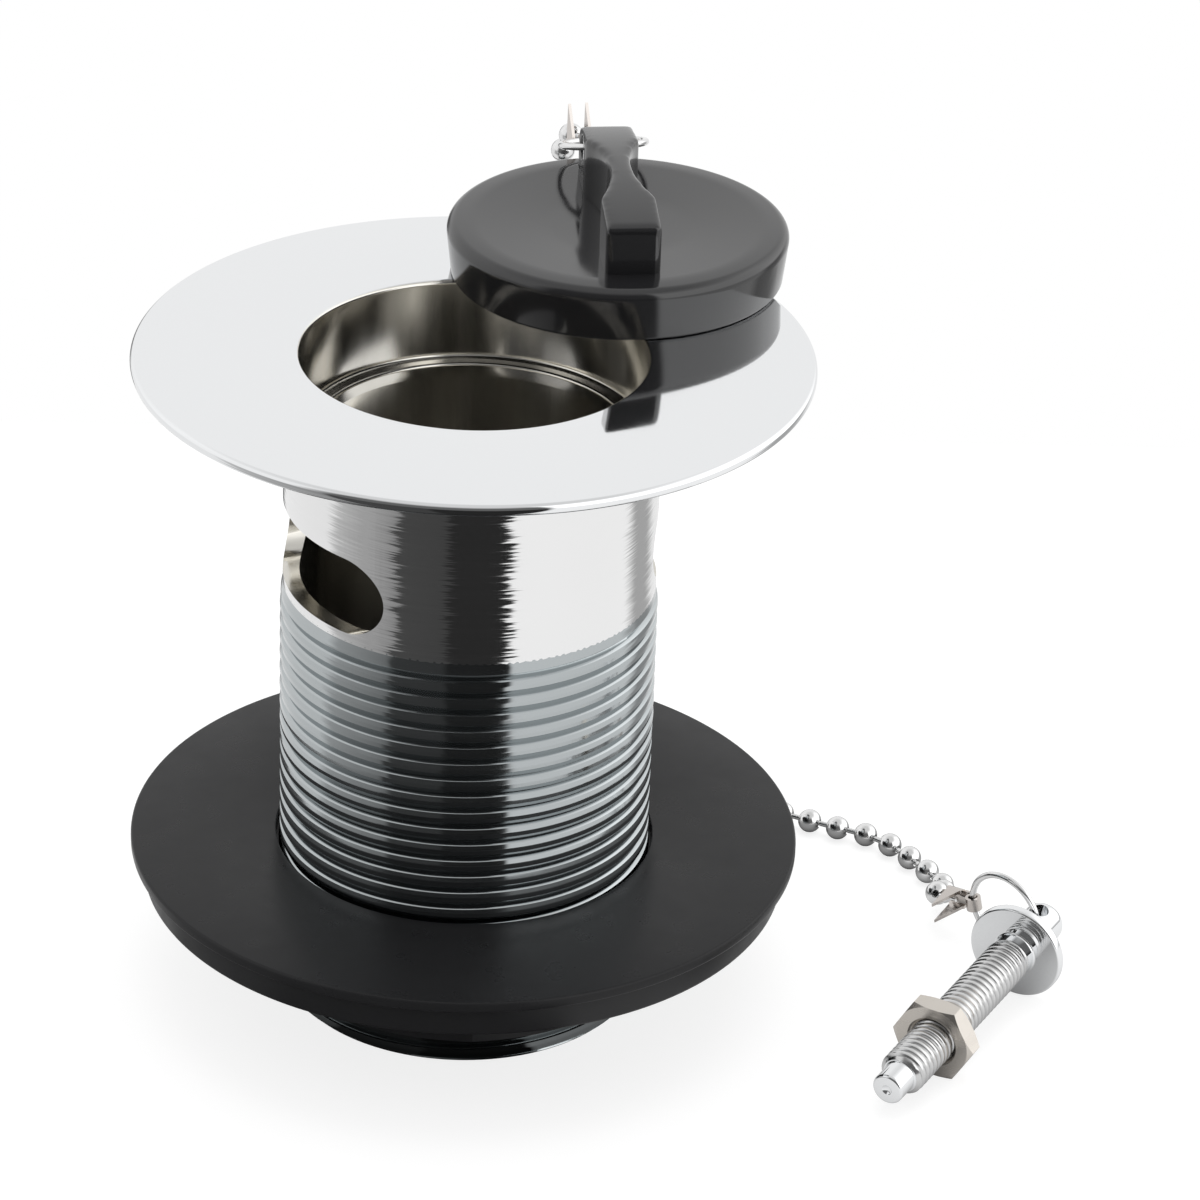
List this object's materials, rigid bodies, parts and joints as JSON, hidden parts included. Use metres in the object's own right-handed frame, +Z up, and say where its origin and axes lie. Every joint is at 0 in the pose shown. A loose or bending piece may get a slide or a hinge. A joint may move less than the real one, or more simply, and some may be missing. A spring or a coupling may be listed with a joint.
{
  "type": "sink waste with plug and chain",
  "caption": "Flanged and slotted threaded sink waste with sealing washer and back nut, a black plug lying on its flange, and a ball chain that runs from the plug to a chain stay.",
  "frame": {"origin": "centre of the tail's lower end", "axes": "+Z up the tail towards the flange; the two overflow slots open along +X and -X"},
  "size_m": [0.1153, 0.1038, 0.1039],
  "materials": {
    "plated_body": "polished plating over turned brass",
    "black_rubber": "smooth satin",
    "black_nut": "satin moulded",
    "black_plug": "glossy moulded",
    "bright_wire": "bright wire",
    "bright_sheet": "bright folded sheet",
    "bright_chain": "bright rolled balls",
    "plated_stay": "polished plating",
    "nickel_nut": "warm nickel"
  },
  "bodies": {
    "waste": {"waste_body": "plated_body", "plug": "black_plug", "plug_ring": "bright_wire", "plug_clip": "bright_sheet", "chain_balls": "bright_chain", "chain_links": "bright_chain", "stay_clip": "bright_sheet", "stay_ring": "bright_wire", "chain_stay": "plated_stay"},
    "washer": {"sealing_washer": "black_rubber"},
    "nut": {"back_nut": "black_nut"},
    "small_nut": {"stay_nut": "nickel_nut"}
  },
  "joints": [
    {"name": "washer_slide", "type": "slide", "parent": "waste", "child": "washer", "axis": [0, 0, 1], "range_m": [-0.0056, 0.0379]},
    {"name": "nut_turn", "type": "hinge", "parent": "washer", "child": "nut", "pos_m": [0, 0, 0], "axis": [0, 0, 1], "range_deg": [-870, 5900]},
    {"name": "small_nut_slide", "type": "slide", "parent": "waste", "child": "small_nut", "axis": [-0.8349, -0.5464, -0.0662], "range_m": [-0.02, 0.008]}
  ],
  "couplings": [
    {"joint": "washer_slide", "follows": "nut_turn", "m_per_rad": 0.00036749}
  ]
}
